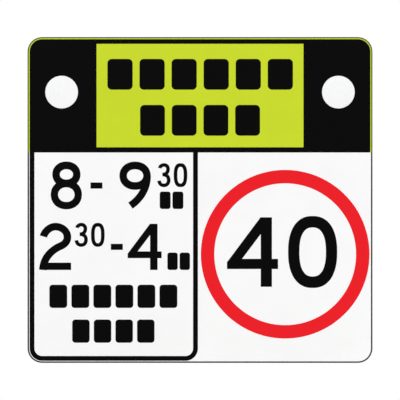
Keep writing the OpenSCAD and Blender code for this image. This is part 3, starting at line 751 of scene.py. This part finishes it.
def header_blocks():
    film = Film()
    add_blocks(film, HEADER_WORD, left=-241.5, right=242.4, drop=57.0, count=6)
    add_blocks(film, HEADER_WORD, left=-156.3, right=156.5, drop=177.0, count=4)
    return film.build("header_blocks")


def timing_blocks():
    film = Film()
    add_blocks(film, HALF_DAY_WORD, left=-105.1, right=-43.5, drop=403.1, count=2)
    add_blocks(film, HALF_DAY_WORD, left=-85.1, right=-26.2, drop=562.2, count=2)
    add_blocks(film, DAY_WORD, left=-393.0, right=-59.2, drop=646.1, count=6)
    add_blocks(film, DAY_WORD, left=-333.4, right=-118.7, drop=736.9, count=4)
    return film.build("timing_blocks")


# Fasteners, turned round axes along y and given as levels: the radius and the y at each side

def add_ring(shape, x, z, level):
    """Vertices at equal turns round an axis, one for each side of a level."""
    ring = []
    for side, (radius, y) in enumerate(level):
        turn = 2 * math.pi * side / len(level)
        ring.append(shape.verts.new((x + radius * math.cos(turn), y, z + radius * math.sin(turn))))
    return ring


def add_skin(shape, rings):
    """Faces from each ring of vertices to the next."""
    for low, high in zip(rings, rings[1:]):
        for side in range(len(low)):
            after = (side + 1) % len(low)
            shape.faces.new((low[side], high[side], high[after], low[after]))


def add_turned_solid(shape, x, z, levels):
    """A skin over the levels, closed at both ends."""
    rings = [add_ring(shape, x, z, level) for level in levels]
    add_skin(shape, rings)
    shape.faces.new(rings[0])
    shape.faces.new(rings[-1][::-1])


def thread_cut(share, depth):
    """How deep a thread is at a share of its pitch: a crest, a flank, a root and a flank."""
    crest_end, root_start, root_end, crest_start = 0.15, 0.5, 0.6, 0.95
    share %= 1.0
    if share < crest_end or share > crest_start:
        return 0.0
    if share < root_start:
        return depth * (share - crest_end) / (root_start - crest_end)
    if share < root_end:
        return depth
    return depth * (crest_start - share) / (crest_start - root_end)


def add_threaded_rod(shape, x, z, start, plain, end, fastener, sides=24, rings_per_turn=8):
    """A rod from y = start to y = end, threaded from y = plain on, with a turned-down tip."""
    radius, pitch = fastener.diameter / 2, fastener.pitch
    depth = 0.6 * pitch
    count = round((end - plain) / (pitch / rings_per_turn))
    levels = [[(radius, y)] * sides for y in (start, plain)]
    for index in range(1, count + 1):
        y = plain + (end - plain) * index / count
        turns = (y - plain) / pitch
        run_in = min(1.0, turns)
        tip = radius - depth + (end - y)
        cuts = [thread_cut(turns - side / sides, depth) for side in range(sides)]
        levels.append([(min(radius - cut * run_in, tip), y) for cut in cuts])
    add_turned_solid(shape, x, z, levels)


def add_hex_head(shape, x, z, front, back, across_flats, sides=48):
    """A hexagon with flats at its top and bottom, its front corners turned down to a round face."""
    face = 0.46 * across_flats
    slope = math.tan(math.radians(30))
    shoulder, foot = [], []
    for side in range(sides):
        turn = 2 * math.pi * side / sides
        within = (turn + math.pi / 6) % (math.pi / 3) - math.pi / 6
        radius = across_flats / 2 / math.cos(abs(within) - math.pi / 6)
        shoulder.append((radius, front + max(0.0, radius - face) * slope))
        foot.append((radius, back))
    add_turned_solid(shape, x, z, [[(face, front)] * sides, shoulder, foot])


def add_collar(shape, x, z, front, back, inner, outer, sides=32):
    """A ring whose back edge is chamfered."""
    chamfer = (back - front) / 3
    section = (
        (inner, front), (outer, front), (outer, back - chamfer), (outer - chamfer, back), (inner, back),
    )
    rings = [add_ring(shape, x, z, [corner] * sides) for corner in section]
    add_skin(shape, rings + rings[:1])


def middles_of_solids(mesh):
    """The x and z of the middle of each separate solid in a mesh."""
    same_place = 1e-6
    probe = bmesh.new()
    probe.from_mesh(mesh)
    bmesh.ops.remove_doubles(probe, verts=probe.verts[:], dist=same_place)
    left = set(probe.verts)
    middles = []
    while left:
        queue = [left.pop()]
        group = []
        while queue:
            vert = queue.pop()
            group.append(vert.co.copy())
            for edge in vert.link_edges:
                other = edge.other_vert(vert)
                if other in left:
                    left.discard(other)
                    queue.append(other)
        xs = [p.x for p in group]
        zs = [p.z for p in group]
        middles.append(((min(xs) + max(xs)) / 2, (min(zs) + max(zs)) / 2))
    probe.free()
    return sorted(middles)


def clamp_bolts():
    """The four clamp bolts, each with a chamfered head in the rail's channel and a cut thread."""
    thread_length = 32 * MM
    low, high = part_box("clamp_bolts")
    rail_low, rail_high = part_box("upper_rail")
    front, end = low[1], high[1]
    rail_z = (rail_low[2] + rail_high[2]) / 2
    bolt_x = high[0] - CLAMP_BOLT.across_flats / math.sqrt(3)
    start, plain = front + CLAMP_HEAD_HEIGHT / 2, end - thread_length
    shape = bmesh.new()
    for x in (-bolt_x, bolt_x):
        for z in (-rail_z, rail_z):
            add_hex_head(shape, x, z, front, front + CLAMP_HEAD_HEIGHT, CLAMP_BOLT.across_flats)
            add_threaded_rod(shape, x, z, start, plain, end, CLAMP_BOLT)
    bmesh.ops.recalc_face_normals(shape, faces=shape.faces[:])
    made = finished(shape, "threaded_clamp_bolts", "plated_steel")
    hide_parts("clamp_bolts")
    return made


def weld_studs(node, name, stud):
    """Threaded studs in the places of a node's plain ones."""
    plain_length = 2 * MM
    low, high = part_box(node)
    start, end = low[1], high[1]
    shape = bmesh.new()
    for x, z in middles_of_solids(nodes[node].data):
        add_threaded_rod(shape, x, z, start, start + plain_length, end, stud, sides=16, rings_per_turn=6)
    bmesh.ops.recalc_face_normals(shape, faces=shape.faces[:])
    made = finished(shape, name, "rivet_aluminium")
    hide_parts(node)
    return made


def nylon_inserts():
    """The locking ring in the end of each nut, which grips the thread."""
    sunk, proud = 0.4 * MM, 0.2 * MM
    shape = bmesh.new()
    for node, fastener in (("clamp_nuts", CLAMP_BOLT), ("lamp_nuts", LAMP_STUD), ("box_nuts", BOX_STUD)):
        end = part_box(node)[1][1]
        inner, outer = 0.485 * fastener.diameter, 0.4 * fastener.across_flats
        for x, z in middles_of_solids(nodes[node].data):
            add_collar(shape, x, z, end - sunk, end + proud, inner, outer)
    bmesh.ops.recalc_face_normals(shape, faces=shape.faces[:])
    return finished(shape, "nylon_inserts", "white_plastic")


# Stage, lights and camera

FLOOR_RADIUS = 1.0
FLOOR_DROP = 0.2


def floor_look():
    """A pale floor that fades to the white background away from the sign."""
    fade_start, fade_end = 0.45 * FLOOR_RADIUS, 0.95 * FLOOR_RADIUS
    look = Look("floor").set(Roughness=0.9, Specular_IOR_Level=0.1)
    grain = look.noise(scale=3.0, detail=2.0)
    look.colour(look.mix(grain, srgb(232, 232, 231), srgb(238, 238, 237)))
    length = look.node("ShaderNodeVectorMath", operation="LENGTH")
    look.link(look.place, length.inputs[0])
    fade = look.span(length.outputs["Value"], fade_start, fade_end)
    white = look.node("ShaderNodeEmission")
    blend = look.node("ShaderNodeMixShader")
    look.link(fade, blend.inputs[0])
    look.link(look.shader.outputs[0], blend.inputs[1])
    look.link(white.outputs[0], blend.inputs[2])
    look.link(blend.outputs[0], look.tree.nodes["Material Output"].inputs["Surface"])
    return look.material


def floor():
    """A round floor below the sign, which hangs on its post."""
    shape = bmesh.new()
    bmesh.ops.create_circle(shape, cap_ends=True, segments=96, radius=FLOOR_RADIUS)
    mesh = bpy.data.meshes.new("floor")
    shape.to_mesh(mesh)
    shape.free()
    made = bpy.data.objects.new("floor", mesh)
    made.location = (0, 0, cad_low[2] - FLOOR_DROP)
    bpy.context.collection.objects.link(made)
    mesh.materials.append(floor_look())


def area_light(name, place, size, power):
    """A round lamp that shines on the frame's origin."""
    light = bpy.data.lights.new(name, "AREA")
    light.shape = "DISK"
    light.size = size
    light.energy = power
    made = bpy.data.objects.new(name, light)
    made.location = place
    made.rotation_euler = (-Vector(place)).to_track_quat("-Z", "Y").to_euler()
    bpy.context.collection.objects.link(made)


def lights():
    """Two lamps in front of the sign and two behind it."""
    area_light("key", place=(-2.2, -3.4, 2.6), size=2.4, power=62)
    area_light("fill", place=(2.8, -3.0, 0.8), size=2.4, power=30)
    area_light("back_key", place=(2.4, 3.0, 2.4), size=2.0, power=34)
    area_light("back_fill", place=(-2.6, 2.6, 0.6), size=2.0, power=12)


def world():
    """An even grey that lights the part, seen as white by the camera and in reflections."""
    light_level, seen_level = 0.66, 1.0
    made = bpy.data.worlds.new("studio")
    bpy.context.scene.world = made
    made.use_nodes = True
    tree = made.node_tree
    background = tree.nodes["Background"]
    background.inputs["Color"].default_value = (1, 1, 1, 1)
    path = tree.nodes.new("ShaderNodeLightPath")
    seen = path.outputs["Is Camera Ray"]
    for ray in ("Is Glossy Ray", "Is Transmission Ray"):
        either = tree.nodes.new("ShaderNodeMath")
        either.operation = "MAXIMUM"
        tree.links.new(seen, either.inputs[0])
        tree.links.new(path.outputs[ray], either.inputs[1])
        seen = either.outputs[0]
    strength = tree.nodes.new("ShaderNodeMapRange")
    strength.inputs["To Min"].default_value = light_level
    strength.inputs["To Max"].default_value = seen_level
    tree.links.new(seen, strength.inputs["Value"])
    tree.links.new(strength.outputs["Result"], background.inputs["Strength"])


def camera():
    """Straight in front of the sign, far enough away for a flat view."""
    seen_width = 1043.6 * MM
    lens, sensor = 200.0, 36.0
    distance = seen_width * lens / sensor
    data = bpy.data.cameras.new("camera")
    data.lens = lens
    data.sensor_width = sensor
    data.clip_end = 50.0
    made = bpy.data.objects.new("camera", data)
    made.location = (0, FACE_FRONT - distance, 0)
    made.rotation_euler = (math.radians(90), 0, 0)
    bpy.context.collection.objects.link(made)
    bpy.context.scene.camera = made


dress_cad_nodes()
header_blocks()
timing_blocks()
speed_numerals()
morning_hours()
afternoon_hours()
clamp_bolts()
weld_studs("lamp_studs", "threaded_lamp_studs", LAMP_STUD)
weld_studs("box_studs", "threaded_box_studs", BOX_STUD)
nylon_inserts()
floor()
lights()
world()
camera()
bpy.context.scene.view_settings.view_transform = "Standard"
